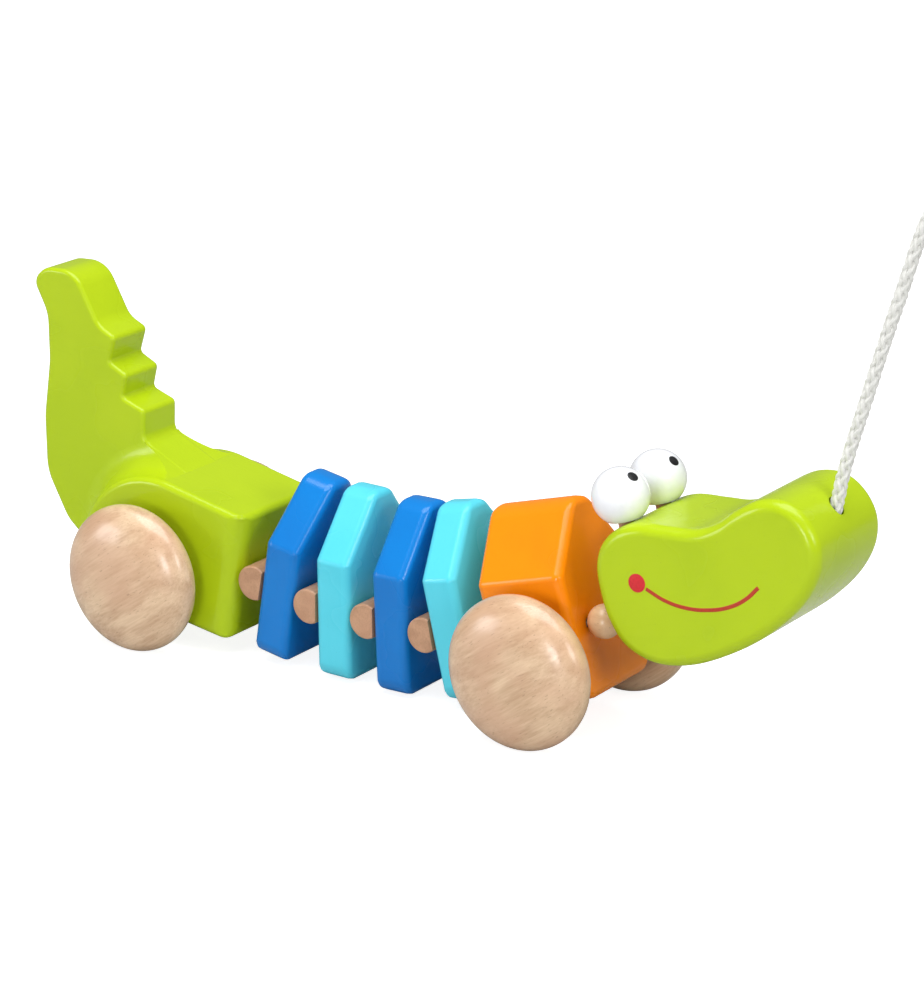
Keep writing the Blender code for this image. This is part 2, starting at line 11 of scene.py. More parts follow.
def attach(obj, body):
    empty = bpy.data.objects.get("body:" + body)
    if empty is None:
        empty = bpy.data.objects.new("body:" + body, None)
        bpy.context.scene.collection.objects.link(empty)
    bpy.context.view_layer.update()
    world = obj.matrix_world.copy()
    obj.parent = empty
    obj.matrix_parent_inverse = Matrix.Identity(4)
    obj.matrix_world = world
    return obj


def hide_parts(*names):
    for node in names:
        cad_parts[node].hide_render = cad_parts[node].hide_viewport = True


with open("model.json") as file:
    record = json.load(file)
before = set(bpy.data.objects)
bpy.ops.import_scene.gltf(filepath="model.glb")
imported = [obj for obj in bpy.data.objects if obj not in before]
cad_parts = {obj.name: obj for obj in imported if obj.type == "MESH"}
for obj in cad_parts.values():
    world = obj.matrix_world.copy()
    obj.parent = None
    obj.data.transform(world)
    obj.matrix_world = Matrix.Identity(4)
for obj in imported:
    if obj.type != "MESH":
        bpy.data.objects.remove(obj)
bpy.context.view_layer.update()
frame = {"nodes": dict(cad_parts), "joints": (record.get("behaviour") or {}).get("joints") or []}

MM = 0.001
GAP = 0.3 * MM  # clearance left where two pieces touch

# Camera: angles in degrees, and its aim from the rear axle
CAMERA_AZIMUTH = 33.93
CAMERA_ELEVATION = 18.01
CAMERA_ROLL = 0.43
CAMERA_AIM = (102.3 * MM, 0, 41.2 * MM)
CAMERA_DISTANCE = 1132.8 * MM
CAMERA_LENS = 138.6
CAMERA_SHIFT = (0.0214, -0.0100)

# Joint axes, and the tilt of each block between them (radians, nose down)
AXIS = {joint["name"]: Vector(joint["pos_m"]) for joint in frame["joints"]}
TAIL_TILT = math.radians(9)
HEAD_TILT = math.radians(-15)

# Plates, front block and dowels, measured from the cord line and the axis behind
SECTION_TOP = 38.3 * MM
SECTION_SHOULDER = 17.5 * MM
SECTION_BOTTOM = -23.3 * MM
TOP_HALF_WIDTH = 4.8 * MM
SHOULDER_HALF_WIDTH = 20.7 * MM
BOTTOM_HALF_WIDTH = 19 * MM
SHOULDER_ROUNDING = 1.1 * MM  # each rounding is how far it reaches along the faces
BOTTOM_ROUNDING = 5.9 * MM
PLATE_TOP_ROUNDING = 3.7 * MM
PLATE_RIM_ROUNDING = 2.7 * MM
FRONT_TOP_ROUNDING = 4.6 * MM
FRONT_RIM_ROUNDING = 3 * MM
DOWEL_RADIUS = 5.9 * MM
DOWEL_HALF_LENGTH = 19.5 * MM
DOWEL_EDGE_RADIUS = 0.7 * MM
DOWEL_FLAT = 3.1 * MM  # from the dowel's axis forwards to its flat side
DOWEL_BORE_RADIUS = 3.4 * MM
BLOCK_REAR = DOWEL_FLAT + GAP  # from the dowel's axis forwards to the block glued to it
PLATE_THICKNESS = 12.9 * MM
PLATE_LEANS = (1.2, -0.5, -0.9, -2.9)  # degrees from square to the cords, nose down
PLATE_LIFTS = (-0.8 * MM, -0.1 * MM, -0.1 * MM, 1.3 * MM)
FRONT_BLOCK_LENGTH = 32 * MM
CORD_OFFSET = 10 * MM
CORD_RADIUS = 1.5 * MM
CORD_BORE_RADIUS = 2 * MM

# Tail block, measured from its axle
HALF_WIDTH = 21 * MM
BLOCK_FRONT = 33.7 * MM
BLOCK_TOP = 30.4 * MM
FENDER_RADIUS = 32 * MM  # of the arch over the wheels
FENDER_PLACE = (1 * MM, -0.2 * MM)
BLOCK_BOTTOM = -14 * MM
REAR_CORD_HEIGHT = 9.3 * MM
REAR_CORD_DEPTH = 20 * MM
BLOCK_CORNER_ROUNDING = 6.5 * MM  # of the block's two upright front corners
BLOCK_EDGE_ROUNDING = 2.34 * MM
TAIL_HALF_WIDTH = 9 * MM
TAIL_EDGE_RADIUS = 1.5 * MM
TAIL_OUTLINE = (  # x, z and corner radius, in mm, from the back of the underside over the tail
    (-18, -14, 4), (-31, -10.5, 12), (-46.5, -1.5, 14), (-57.5, 12.5, 18), (-61, 32, 30),
    (-61.4, 52, 30), (-64.2, 68, 14), (-71.8, 78, 5), (-67.2, 83.6, 8), (-54.5, 86.4, 12),
    (-42, 70.8, 8), (-34.6, 68.8, 2), (-35.9, 59.6, 1.5), (-28.2, 57.4, 2), (-28.8, 49.2, 1.5),
    (-19.4, 47.6, 2), (-18, 37.2, 4), (2, 31.3, 14), (14, 29.6, 4), (14, -14, 4),
)

# Wheels and axles
WHEEL_RADIUS = 25 * MM
WHEEL_WIDEST = 31 * MM  # where the wheel is at its full radius, from the middle plane
WHEEL_CROWN = 41 * MM
WHEEL_INNER = 26 * MM
WHEEL_BACK_ROUNDING = 5 * MM
WHEEL_SHOULDER = 2.25  # how square the shoulder is: 2 would be an ellipse
HUB_RADIUS = 8 * MM
HUB_INNER = 21.6 * MM
AXLE_RADIUS = 4 * MM
AXLE_HALF_LENGTH = 36 * MM

# Neck, head and eyes
BEAD_RADIUS = 5.5 * MM
BEAD_TILT = math.radians(-15.5)
BEAD_BORE_RADIUS = 2.6 * MM
HEAD_HALF_WIDTH = 20.5 * MM
HEAD_EDGE_RADIUS = 3.6 * MM
HEAD_CORD_DEPTH = 21 * MM
HEAD_OUTLINE = (  # x and z, in mm, from the neck pivot, clockwise from the back of the head
    (6.3, 12), (7, 20.2), (10.4, 26.4), (16.6, 30.5), (25, 31.8), (35, 30), (44, 28.5), (52, 29.8),
    (60, 33.4), (69, 35.8), (77.5, 34.2), (83.3, 28.2), (85.6, 19.7), (82.8, 10.7), (75, 2.2), (63, -5.1),
    (49, -10.4), (34, -13.4), (21, -12.2), (11.5, -6), (7.4, 2.7),
)
EYE_RADIUS = 9.1 * MM
EYE_PLACE = (15.9 * MM, 11 * MM, 39.2 * MM)
EYE_FLAT = 7.6 * MM
EYE_PEG_RADIUS = 2.5 * MM
PUPIL_RADIUS = 1.75 * MM
PUPIL_LOOKS = {"left": (0.66, -0.08, 0.75), "right": (0.55, -0.16, 0.83)}
PAINT = 0.07 * MM  # how far a painted mark stands proud
DOT_RADIUS = 2.95 * MM
DOT_PLACE = (21.6 * MM, 13.9 * MM)
SMILE_HALF_WIDTH = 0.62 * MM
SMILE_STROKE = ((24.4, 11.9), (30.2, 7.9), (37, 5.2), (44.4, 4.1), (51.9, 4.5), (58.4, 6.6), (63.6, 9.9))

# Pull cord: its route in world metres, in the middle plane
ROPE_DIAMETER = 4.2 * MM
ROPE_ROUTE = (
    (0.1445, 0.0794), (0.1455, 0.0848), (0.1465, 0.0900), (0.1476, 0.0965), (0.1492, 0.1035),
    (0.1512, 0.1110), (0.1536, 0.1195), (0.1561, 0.1285), (0.1586, 0.1375), (0.1612, 0.1465),
    (0.1638, 0.1550), (0.1662, 0.1635), (0.1687, 0.1720), (0.1722, 0.1810), (0.1768, 0.1893),
    (0.1825, 0.1966), (0.1891, 0.2027), (0.1958, 0.2088), (0.1987, 0.2115),
)
ROPE_HOLE_RADIUS = 2.6 * MM
ROPE_STRANDS = 8
ROPE_PITCH = 21 * MM  # rope used up by one full wind of a strand
KNOT_HEIGHT = 3.4 * MM
KNOT_SWELL = 1.05 * MM
KNOT_RISE = 1.5 * MM
PULL_BALL_BACK = 12 * MM  # from the rope's end
PULL_BALL_RADIUS = 11 * MM
PULL_BALL_BORE_RADIUS = 2.5 * MM


# ---------------------------------------------------------------- camera


def facing(direction):
    """The turn that points z along a direction."""
    return direction.to_track_quat("Z", "Y").to_matrix().to_4x4()


def place_camera():
    camera = bpy.data.objects.new("camera", bpy.data.cameras.new("camera"))
    bpy.context.scene.collection.objects.link(camera)
    angles = (CAMERA_AZIMUTH, CAMERA_ELEVATION, CAMERA_ROLL)
    azimuth, elevation, roll = (math.radians(angle) for angle in angles)
    target = AXIS["rear_wheels_turn"] + Vector(CAMERA_AIM)
    level = math.cos(elevation)
    away = Vector((math.sin(azimuth) * level, -math.cos(azimuth) * level, math.sin(elevation)))
    spot = Matrix.Translation(target + away * CAMERA_DISTANCE)
    camera.matrix_world = spot @ facing(away) @ Matrix.Rotation(roll, 4, "Z")
    camera.data.sensor_fit = "HORIZONTAL"
    camera.data.sensor_width = 36
    camera.data.lens = CAMERA_LENS
    camera.data.shift_x, camera.data.shift_y = CAMERA_SHIFT
    bpy.context.scene.camera = camera


place_camera()


# ---------------------------------------------------------------- shared surface effects


def new_group(name, inputs, outputs):
    """An empty shader node group with its sockets; kinds are Vector, Color and Float."""
    group = bpy.data.node_groups.new(name, "ShaderNodeTree")
    for label, kind, value in inputs:
        socket = group.interface.new_socket(label, in_out="INPUT", socket_type="NodeSocket" + kind)
        if value is not None:
            socket.default_value = value
    for label, kind in outputs:
        group.interface.new_socket(label, in_out="OUTPUT", socket_type="NodeSocket" + kind)
    return group, group.nodes.new("NodeGroupInput"), group.nodes.new("NodeGroupOutput")


def noise(tree, vector, scale, detail=3.0, roughness=0.5, distortion=0.0):
    node = tree.nodes.new("ShaderNodeTexNoise")
    node.inputs["Scale"].default_value = scale
    node.inputs["Detail"].default_value = detail
    node.inputs["Roughness"].default_value = roughness
    node.inputs["Distortion"].default_value = distortion
    tree.links.new(vector, node.inputs["Vector"])
    return node.outputs["Fac"]


def remap(tree, value, low, high, to_low=0.0, to_high=1.0):
    node = tree.nodes.new("ShaderNodeMapRange")
    node.interpolation_type = "SMOOTHSTEP"
    for label, number in (("From Min", low), ("From Max", high), ("To Min", to_low), ("To Max", to_high)):
        node.inputs[label].default_value = number
    tree.links.new(value, node.inputs["Value"])
    return node.outputs["Result"]


def mixed(tree, factor, first, second, blend="MIX"):
    """Colours first and second mixed by factor; any of the three may be a socket or a value."""
    node = tree.nodes.new("ShaderNodeMix")
    node.data_type = "RGBA"
    node.blend_type = blend
    for socket, value in ((node.inputs[0], factor), (node.inputs[6], first), (node.inputs[7], second)):
        if isinstance(value, bpy.types.NodeSocket):
            tree.links.new(value, socket)
        elif isinstance(value, tuple):
            socket.default_value = (*value, 1)
        else:
            socket.default_value = value
    return node.outputs[2]


def maths(tree, operation, first, second):
    node = tree.nodes.new("ShaderNodeMath")
    node.operation = operation
    for socket, value in ((node.inputs[0], first), (node.inputs[1], second)):
        if isinstance(value, bpy.types.NodeSocket):
            tree.links.new(value, socket)
        else:
            socket.default_value = value
    return node.outputs[0]


def stretched(tree, vector, along=0.07):
    """The vector with its x squeezed, so that a pattern on it runs along the grain."""
    node = tree.nodes.new("ShaderNodeVectorMath")
    node.operation = "MULTIPLY"
    node.inputs[1].default_value = (along, 1, 1)
    tree.links.new(vector, node.inputs[0])
    return node.outputs[0]


def make_timber_group():
    """Bare timber: growth bands, fibres and pores along x, and slow changes of tone."""
    group, given, result = new_group(
        "timber",
        (
            ("Vector", "Vector", None),
            ("Light", "Color", None),
            ("Dark", "Color", None),
            ("Flush", "Color", None),
        ),
        (("Color", "Color"), ("Roughness", "Float"), ("Height", "Float")),
    )
    vector = given.outputs["Vector"]
    along = stretched(group, vector)
    slow = noise(group, vector, 45, 2)
    bands = noise(group, stretched(group, vector, 0.22), 210, 2, 0.5, 0.6)
    fibres = noise(group, along, 1500, 4, 0.6)
    pores = remap(group, noise(group, stretched(group, vector, 0.16), 2300, 1), 0.66, 0.74)
    banding = maths(group, "MULTIPLY", remap(group, bands, 0.35, 0.68), 0.55)
    tone = maths(group, "ADD", banding, maths(group, "MULTIPLY", remap(group, fibres, 0.3, 0.7), 0.4))
    color = mixed(group, tone, given.outputs["Light"], given.outputs["Dark"])
    flush = maths(group, "MULTIPLY", remap(group, slow, 0.4, 0.66), 0.6)
    color = mixed(group, flush, color, given.outputs["Flush"])
    color = mixed(group, maths(group, "MULTIPLY", pores, 0.35), color, (0.22, 0.10, 0.045))
    group.links.new(color, result.inputs["Color"])
    group.links.new(remap(group, fibres, 0.2, 0.8, 0.30, 0.44), result.inputs["Roughness"])
    pits = maths(group, "MULTIPLY", pores, 0.5)
    height = maths(group, "SUBTRACT", maths(group, "MULTIPLY", fibres, 0.5), pits)
    group.links.new(height, result.inputs["Height"])
    return group


def make_paint_group():
    """Brushed and sprayed gloss paint over timber: the grain shows faintly through an even coat."""
    group, given, result = new_group(
        "gloss_paint",
        (("Vector", "Vector", None), ("Paint", "Color", None), ("Thick", "Color", None)),
        (("Color", "Color"), ("Roughness", "Float"), ("Height", "Float")),
    )
    vector = given.outputs["Vector"]
    grain = noise(group, stretched(group, vector, 0.09), 850, 3, 0.55)
    slow = noise(group, vector, 38, 2)
    peel = noise(group, vector, 1300, 2)
    deep = maths(group, "MULTIPLY", remap(group, slow, 0.35, 0.7), 0.55)
    color = mixed(group, deep, given.outputs["Paint"], given.outputs["Thick"])
    lines = maths(group, "MULTIPLY", remap(group, grain, 0.56, 0.78), 0.22)
    color = mixed(group, lines, color, given.outputs["Thick"])
    specks = remap(group, noise(group, vector, 2600, 1), 0.74, 0.79)
    color = mixed(group, maths(group, "MULTIPLY", specks, 0.25), color, (0.05, 0.05, 0.02))
    group.links.new(color, result.inputs["Color"])
    group.links.new(remap(group, slow, 0.2, 0.8, 0.20, 0.32), result.inputs["Roughness"])
    height = maths(group, "ADD", maths(group, "MULTIPLY", grain, 0.8), maths(group, "MULTIPLY", peel, 0.22))
    group.links.new(height, result.inputs["Height"])
    return group


TIMBER = make_timber_group()
GLOSS_PAINT = make_paint_group()


def new_material(name, grain_turn=(0, 0, 0), group=None, colors=()):
    """A material whose colour, roughness and bump come from a group on turned Object coordinates."""
    made = bpy.data.materials.new(name)
    made.use_nodes = True
    tree = made.node_tree
    shader = tree.nodes["Principled BSDF"]
    place = tree.nodes.new("ShaderNodeTexCoord")
    turn = tree.nodes.new("ShaderNodeMapping")
    turn.inputs["Rotation"].default_value = grain_turn
    tree.links.new(place.outputs["Object"], turn.inputs["Vector"])
    if group:
        effect = tree.nodes.new("ShaderNodeGroup")
        effect.node_tree = group
        tree.links.new(turn.outputs[0], effect.inputs["Vector"])
        for label, color in colors:
            effect.inputs[label].default_value = (*color, 1)
        tree.links.new(effect.outputs["Color"], shader.inputs["Base Color"])
        tree.links.new(effect.outputs["Roughness"], shader.inputs["Roughness"])
        bump(tree, shader, effect.outputs["Height"], 0.12 * MM)
    return made, tree, shader, turn.outputs[0]


def bump(tree, shader, height, distance, strength=0.35):
    node = tree.nodes.new("ShaderNodeBump")
    node.inputs["Strength"].default_value = strength
    node.inputs["Distance"].default_value = distance
    tree.links.new(height, node.inputs["Height"])
    tree.links.new(node.outputs[0], shader.inputs["Normal"])


def paint_material(name, paint, thick, grain_turn=(0, 0, 0)):
    made, _, shader, _ = new_material(name, grain_turn, GLOSS_PAINT, (("Paint", paint), ("Thick", thick)))
    shader.inputs["Specular IOR Level"].default_value = 0.22
    shader.inputs["Coat Weight"].default_value = 0.16
    shader.inputs["Coat Roughness"].default_value = 0.10
    return made


def timber_material(name, light, dark, flush, grain_turn, varnish):
    colors = (("Light", light), ("Dark", dark), ("Flush", flush))
    made, _, shader, _ = new_material(name, grain_turn, TIMBER, colors)
    shader.inputs["Coat Weight"].default_value = varnish
    shader.inputs["Coat Roughness"].default_value = 0.18
    return made


LIME = ((0.43, 0.58, 0.008), (0.37, 0.52, 0.005))
DARK_BLUE = ((0.005, 0.19, 0.58), (0.004, 0.15, 0.50))
LIGHT_BLUE = ((0.10, 0.63, 0.77), (0.075, 0.57, 0.70))
ORANGE = ((0.92, 0.26, 0.003), (0.86, 0.20, 0.002))
UPRIGHT_GRAIN = (0, math.radians(90), 0)

lime_tail = paint_material("lime_paint_on_the_tail", *LIME, (0, -TAIL_TILT, 0))
lime_head = paint_material("lime_paint_on_the_head", *LIME, (0, -HEAD_TILT, 0))
dark_blue = paint_material("dark_blue_paint", *DARK_BLUE, UPRIGHT_GRAIN)
light_blue = paint_material("light_blue_paint", *LIGHT_BLUE, UPRIGHT_GRAIN)
orange = paint_material("orange_paint", *ORANGE, UPRIGHT_GRAIN)
WHEEL_TONES = ((0.74, 0.54, 0.35), (0.50, 0.31, 0.18), (0.58, 0.34, 0.21))
wheel_wood = timber_material("varnished_wheel_wood", *WHEEL_TONES, (0, math.radians(35), 0), 0.6)
DOWEL_TONES = ((0.56, 0.32, 0.19), (0.38, 0.20, 0.11), (0.47, 0.25, 0.15))
dowel_wood = timber_material("bare_dowel_wood", *DOWEL_TONES, (0, 0, math.radians(90)), 0.0)
BEAD_TONES = ((0.84, 0.60, 0.36), (0.68, 0.43, 0.23), (0.76, 0.48, 0.28))
bead_wood = timber_material("varnished_bead_wood", *BEAD_TONES, (0, 0, 0), 0.4)


def eye_white_material():
    made, tree, shader, vector = new_material("white_eye_lacquer")
    slow = noise(tree, vector, 160, 2)
    color = mixed(tree, remap(tree, slow, 0.3, 0.7), (0.86, 0.87, 0.90), (0.83, 0.845, 0.885))
    tree.links.new(color, shader.inputs["Base Color"])
    tree.links.new(remap(tree, slow, 0.3, 0.7, 0.16, 0.24), shader.inputs["Roughness"])
    bump(tree, shader, noise(tree, vector, 900, 2), 0.04 * MM)
    shader.inputs["Coat Weight"].default_value = 0.5
    shader.inputs["Coat Roughness"].default_value = 0.08
    return made


def mark_material(name, color, shade):
    """Printed paint: nearly even, with a slightly dry, speckled coat."""
    made, tree, shader, vector = new_material(name)
    dry = noise(tree, vector, 1400, 3)
    tree.links.new(mixed(tree, remap(tree, dry, 0.4, 0.75), color, shade), shader.inputs["Base Color"])
    tree.links.new(remap(tree, dry, 0.3, 0.7, 0.30, 0.45), shader.inputs["Roughness"])
    bump(tree, shader, dry, 0.02 * MM)
    return made


def fibre_material(name, light, dark, turns, sheen):
    """Spun fibre on a strand whose UV map runs along it (u, in metres) and around it (v, 0 to 1)."""
    made = bpy.data.materials.new(name)
    made.use_nodes = True
    tree = made.node_tree
    shader = tree.nodes["Principled BSDF"]
    uv = tree.nodes.new("ShaderNodeUVMap")
    uv.uv_map = "along"
    lay = tree.nodes.new("ShaderNodeMapping")
    lay.inputs["Scale"].default_value = (140, 26, 1)
    lay.inputs["Rotation"].default_value = (0, 0, turns)
    tree.links.new(uv.outputs[0], lay.inputs["Vector"])
    fibres = noise(tree, lay.outputs[0], 1.6, 3, 0.6)
    tree.links.new(mixed(tree, remap(tree, fibres, 0.3, 0.66), dark, light), shader.inputs["Base Color"])
    tree.links.new(remap(tree, fibres, 0.3, 0.7, 0.62, 0.8), shader.inputs["Roughness"])
    shader.inputs["Sheen Weight"].default_value = sheen
    bump(tree, shader, fibres, 0.15 * MM, 0.5)
    return made


eye_white = eye_white_material()
pupil_black = mark_material("black_pupil_paint", (0.006, 0.006, 0.007), (0.016, 0.016, 0.017))
dot_red = mark_material("red_dot_paint", (0.62, 0.012, 0.022), (0.54, 0.010, 0.018))
smile_red = mark_material("red_brown_smile_paint", (0.46, 0.035, 0.006), (0.38, 0.026, 0.005))
rope_white = fibre_material("white_rope_fibre", (0.83, 0.83, 0.80), (0.60, 0.60, 0.56), 0.5, 0.3)
elastic_grey = fibre_material("grey_elastic_sleeve", (0.40, 0.39, 0.37), (0.16, 0.155, 0.15), 0.9, 0.1)


# ---------------------------------------------------------------- workshop helpers


def pick(obj):
    bpy.ops.object.select_all(action="DESELECT")
    obj.select_set(True)
    bpy.context.view_layer.objects.active = obj


def edit(obj, kind, wanted):
    """Goes into edit mode with only those vertices, edges or faces selected for which wanted is true."""
    pick(obj)
    bpy.ops.object.mode_set(mode="EDIT")
    bpy.ops.mesh.select_mode(type=kind)
    bpy.ops.mesh.select_all(action="DESELECT")
    mesh = bmesh.from_edit_mesh(obj.data)
    for element in {"VERT": mesh.verts, "EDGE": mesh.edges, "FACE": mesh.faces}[kind]:
        if wanted(element):
            element.select_set(True)
    mesh.select_flush_mode()
    bmesh.update_edit_mesh(obj.data)


def done():
    bpy.ops.object.mode_set(mode="OBJECT")
    return bpy.context.active_object


def named(name):
    obj = bpy.context.active_object
    obj.name = obj.data.name = name
    return obj


def apply_modifier(obj, kind, **settings):
    pick(obj)
    bpy.ops.object.modifier_add(type=kind)
    modifier = obj.modifiers[-1]
    for label, value in settings.items():
        setattr(modifier, label, value)
    bpy.ops.object.modifier_apply(modifier=modifier.name)


def combine(obj, other, operation):
    """A Boolean of obj with other, after which other is gone."""
    apply_modifier(obj, "BOOLEAN", operation=operation, object=other, solver="EXACT")
    bpy.data.objects.remove(other)


def settle(obj, matrix):
    """Turns and moves a finished piece to its place in the toy, and keeps that in its mesh."""
    bpy.context.view_layer.update()
    obj.matrix_world = matrix @ obj.matrix_world
    pick(obj)
    bpy.ops.object.transform_apply(location=True, rotation=True, scale=True)


def soften(obj, angle=32, weighted=True):
    pick(obj)
    bpy.ops.object.shade_smooth_by_angle(angle=math.radians(angle))
    if weighted:
        apply_modifier(obj, "WEIGHTED_NORMAL", keep_sharp=True, weight=60)


def finish_piece(obj, material, body, slot, *nodes):
    obj.data.materials.clear()
    obj.data.materials.append(material)
    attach(obj, body)
    if nodes:
        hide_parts(*nodes)


def body_place(name_behind, name_ahead):
    """The frame of a block that hangs between two joint axes: x runs along its cords."""
    behind, ahead = AXIS[name_behind], AXIS[name_ahead]
    tilt = math.atan2(behind.z - ahead.z, ahead.x - behind.x)
    return Matrix.Translation(behind) @ Matrix.Rotation(tilt, 4, "Y"), (ahead - behind).length


def rod(name, radius, start, length, axis="X", sides=48):
    """A plain round bar for drilling with, from start along the axis."""
    turn = {"X": (0, math.radians(90), 0), "Y": (math.radians(-90), 0, 0), "Z": (0, 0, 0)}[axis]
    step = {"X": Vector((1, 0, 0)), "Y": Vector((0, 1, 0)), "Z": Vector((0, 0, 1))}[axis]
    bpy.ops.mesh.primitive_cylinder_add(
        vertices=sides, radius=radius, depth=length, location=Vector(start) + step * length / 2, rotation=turn
    )
    return named(name)


def drill(obj, radius, start, length, axis="X", sides=48):
    combine(obj, rod("drill", radius, start, length, axis, sides), "DIFFERENCE")


def turn_piece(name, profile, sides=96):
    """Lathe work about z: a disc pulled up ring by ring along (radius, height) points."""
    radius, height = profile[0]
    bpy.ops.mesh.primitive_circle_add(
        vertices=sides, radius=radius, fill_type="NGON", location=(0, 0, height)
    )
    obj = named(name)
    settle(obj, Matrix.Identity(4))
    edit(obj, "FACE", lambda face: True)
    for next_radius, next_height in profile[1:]:
        move = {"value": (0, 0, next_height - height)}
        bpy.ops.mesh.extrude_region_move(TRANSFORM_OT_translate=move)
        if next_radius == 0:
            bpy.ops.mesh.merge(type="COLLAPSE")
            break
        share = next_radius / radius
        bpy.ops.transform.resize(value=(share, share, 1), center_override=(0, 0, next_height))
        radius, height = next_radius, next_height
    bpy.ops.mesh.select_all(action="SELECT")
    bpy.ops.mesh.remove_doubles(threshold=1e-7)
    bpy.ops.mesh.normals_make_consistent(inside=False)
    return done()


def copy_of(obj, name):
    made = obj.copy()
    made.data = obj.data.copy()
    made.name = made.data.name = name
    bpy.context.scene.collection.objects.link(made)
    return made


def arc(radius, start, end, steps, center=(0, 0)):
    points = []
    for k in range(steps + 1):
        angle = math.radians(start + (end - start) * k / steps)
        points.append((center[0] + radius * math.cos(angle), center[1] + radius * math.sin(angle)))
    return points


def rounded(corners, steps):
    """The closed outline through corners (x, z, radius), each turned into an arc of that radius."""
    points = []
    for i, (x, z, radius) in enumerate(corners):
        here = Vector((x, z))
        back = Vector(corners[i - 1][:2]) - here
        on = Vector(corners[(i + 1) % len(corners)][:2]) - here
        half_angle = back.angle(on) / 2
        reach = min(radius / math.tan(half_angle), 0.48 * back.length, 0.48 * on.length)
        middle = back.normalized() + on.normalized()
        center = here + middle.normalized() * (reach / math.cos(half_angle))
        first = here + back.normalized() * reach - center
        last = here + on.normalized() * reach - center
        turn = math.copysign(math.pi - 2 * half_angle, first.cross(last))
        for k in range(steps + 1):
            cosine, sine = math.cos(turn * k / steps), math.sin(turn * k / steps)
            point = Vector((first.x * cosine - first.y * sine, first.x * sine + first.y * cosine))
            points.append(tuple(center + point))
    return points


def between(a, b, c, d, steps):
    """Points on the Catmull-Rom curve from b up to c, where a comes before them and d after."""
    square, cube = 2 * a - 5 * b + 4 * c - d, 3 * b - a - 3 * c + d
    for step in range(steps):
        t = step / steps
        yield 0.5 * (2 * b + (c - a) * t + square * t**2 + cube * t**3)


def smooth(points, steps):
    """The closed smooth curve through points, with so many steps from each to the next."""
    curve = []
    for i in range(len(points)):
        a, b, c, d = (Vector(points[(i + k) % len(points)]) for k in (-1, 0, 1, 2))
        curve += [tuple(point) for point in between(a, b, c, d, steps)]
    return curve


def shrink(outline, distance):
    """The outline moved inwards by distance, square to its sides."""
    area = sum(p[0] * q[1] - q[0] * p[1] for p, q in zip(outline, outline[1:] + outline[:1]))
    turn = 1 if area > 0 else -1
    moved = []
    for i, here in enumerate(outline):
        before, after = Vector(outline[i - 1]), Vector(outline[(i + 1) % len(outline)])
        here = Vector(here)
        sides = [(here - before).normalized(), (after - here).normalized()]
        normals = [turn * Vector((-side.y, side.x)) for side in sides]
        across = normals[0] + normals[1]
        moved.append(tuple(here + across * (2 * distance / across.length_squared)))
    return moved


def sawn(name, outline, half_width):
    """A board sawn to an (x, z) outline in mm."""
    bpy.ops.mesh.primitive_circle_add(vertices=len(outline), radius=1, fill_type="NGON")
    obj = named(name)
    for vertex, (x, z) in zip(obj.data.vertices, outline):
        vertex.co = (x * MM, -half_width, z * MM)
    edit(obj, "FACE", lambda face: True)
    bpy.ops.mesh.extrude_region_move(TRANSFORM_OT_translate={"value": (0, 2 * half_width, 0)})
    bpy.ops.mesh.select_all(action="SELECT")
    bpy.ops.mesh.normals_make_consistent(inside=False)
    return done()


def sand_edges(board, radius, steps):
    """Rounds a sawn board along the edges of both its faces."""
    edit(board, "EDGE", lambda edge: abs(edge.verts[0].co.y - edge.verts[1].co.y) < 1e-6)
    bpy.ops.mesh.bevel(offset=radius, segments=steps, profile=0.5, clamp_overlap=False)
    done()


# ---------------------------------------------------------------- pull cord


def curve_through(points, steps):
    """An open smooth curve through points, so many steps from each to the next."""
    ends = [2 * points[0] - points[1], *points, 2 * points[-1] - points[-2]]
    curve = []
    for i in range(1, len(ends) - 2):
        curve += between(*ends[i - 1 : i + 3], steps)
    return [*curve, points[-1]]


def tube_mesh(name, lines, radius, sides=8):
    """One mesh of closed tubes, one along each line, with a UV map along and around each tube."""
    mesh = bmesh.new()
    along = mesh.loops.layers.uv.new("along")
    for line in lines:
        rings = []
        run = [0.0]
        for first, second in zip(line, line[1:]):
            run.append(run[-1] + (second - first).length)
        side = None
        for i, point in enumerate(line):
            tangent = (line[min(i + 1, len(line) - 1)] - line[max(i - 1, 0)]).normalized()
            side = tangent.orthogonal() if side is None else side - tangent * side.dot(tangent)
            side = side.normalized()
            other = tangent.cross(side)
            rings.append(
                [
                    mesh.verts.new(point + radius * (side * math.cos(a) + other * math.sin(a)))
                    for a in (2 * math.pi * k / sides for k in range(sides))
                ]
            )
        for i in range(len(rings) - 1):
            for k in range(sides):
                n = (k + 1) % sides
                face = mesh.faces.new((rings[i][k], rings[i][n], rings[i + 1][n], rings[i + 1][k]))
                places = ((run[i], k), (run[i], k + 1), (run[i + 1], k + 1), (run[i + 1], k))
                for loop, (u, v) in zip(face.loops, places):
                    loop[along].uv = (u, v / sides)
        mesh.faces.new(list(reversed(rings[0])))
        mesh.faces.new(rings[-1])
    data = bpy.data.meshes.new(name)
    mesh.to_mesh(data)
    mesh.free()
    data.shade_smooth()
    obj = bpy.data.objects.new(name, data)
    bpy.context.scene.collection.objects.link(obj)
    return obj


